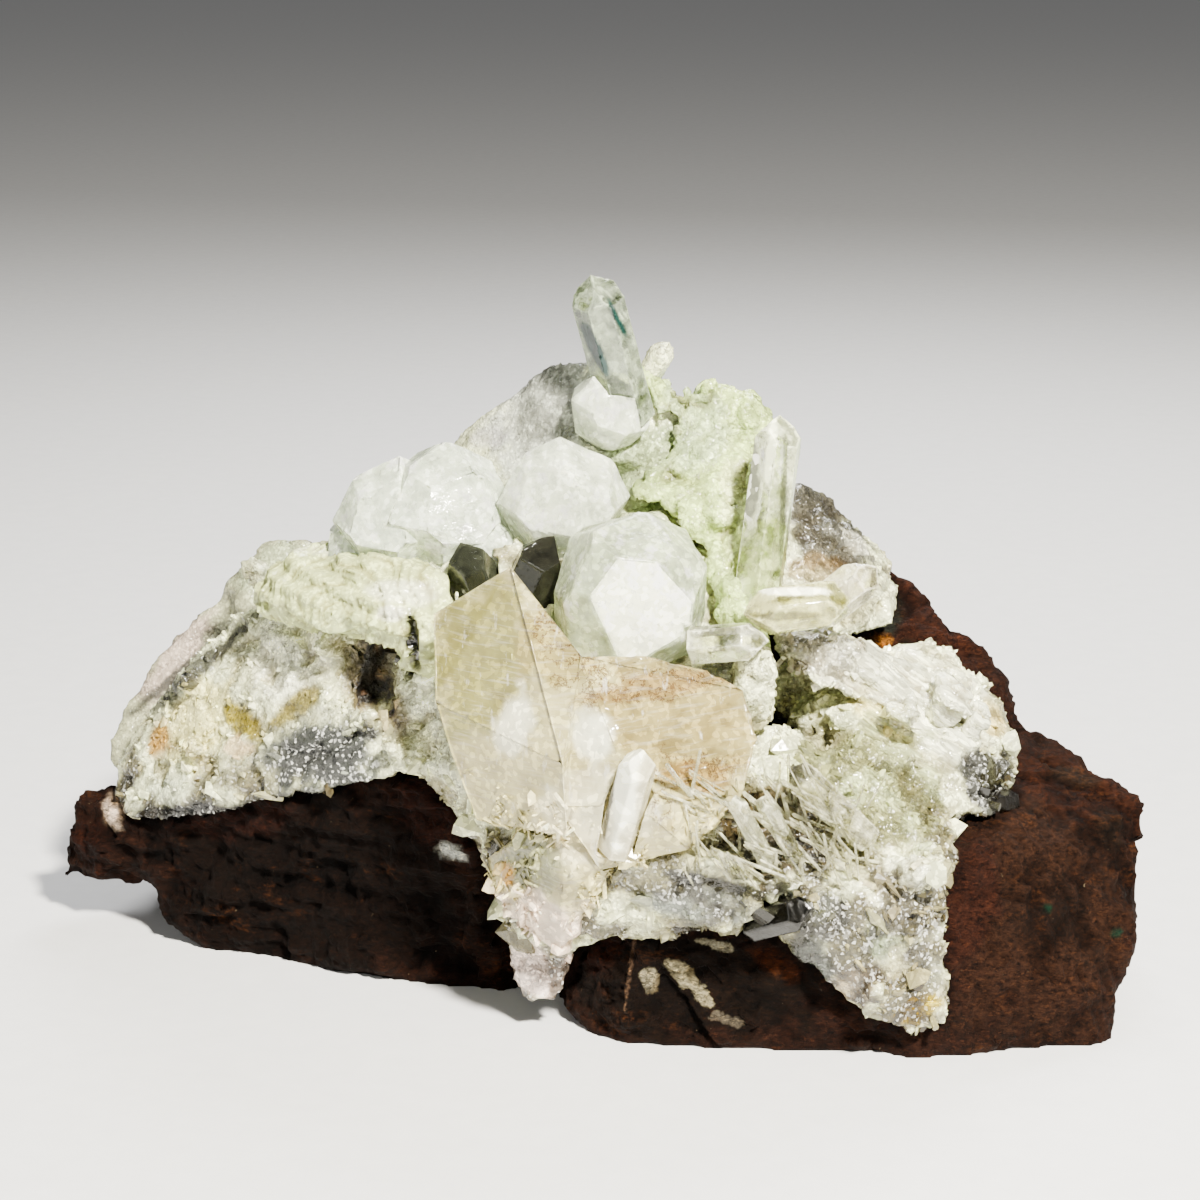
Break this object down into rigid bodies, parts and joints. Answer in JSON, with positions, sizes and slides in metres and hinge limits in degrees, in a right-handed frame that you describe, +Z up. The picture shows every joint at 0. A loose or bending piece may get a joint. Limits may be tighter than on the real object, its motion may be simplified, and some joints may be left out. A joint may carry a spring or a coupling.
{
  "type": "analcime with prehnite mineral specimen",
  "caption": "Frosty analcime crystals with pale and green prehnite, clear quartz prisms and peach calcite, grown on a broken piece of red-brown basalt.",
  "frame": {"origin": "middle of the footprint, on the surface that the specimen stands on", "axes": "+X to the specimen's right as seen from its front, along its length; the front with the crystals faces -Y; +Z up"},
  "size_m": [0.1124, 0.0686, 0.0708],
  "materials": {
    "basalt": "rough broken fine-grained rock, dark red-brown, with rust stains and pale specks",
    "pale_prehnite": "sugary translucent crust, white to pale sage green, sparkling",
    "green_prehnite": "bubbly translucent yellow-green, waxy to glassy",
    "analcime": "frosty milky white crystal faces, glassy where clean",
    "calcite": "translucent beige to peach cleavage faces, waxy, with veils inside",
    "quartz": "clear polished natural crystal faces with a faint yellow tint"
  },
  "bodies": {
    "root": {"basalt_matrix": "basalt", "prehnite_crust": "pale_prehnite", "prehnite_back": "pale_prehnite", "prehnite_mound": "pale_prehnite", "prehnite_peak": "green_prehnite", "analcime_front": "analcime", "analcime_middle": "analcime", "analcime_left": "analcime", "analcime_top": "analcime", "calcite_block": "calcite", "calcite_chip": "calcite", "quartz_tip": "quartz", "quartz_right": "quartz", "quartz_level": "quartz", "quartz_level_back": "quartz", "quartz_short": "quartz", "quartz_bright": "quartz", "quartz_back_left": "quartz", "quartz_back_right": "quartz", "quartz_long": "quartz", "quartz_needle_left": "quartz", "quartz_needle_right": "quartz", "quartz_smoky": "quartz"}
  },
  "joints": []
}
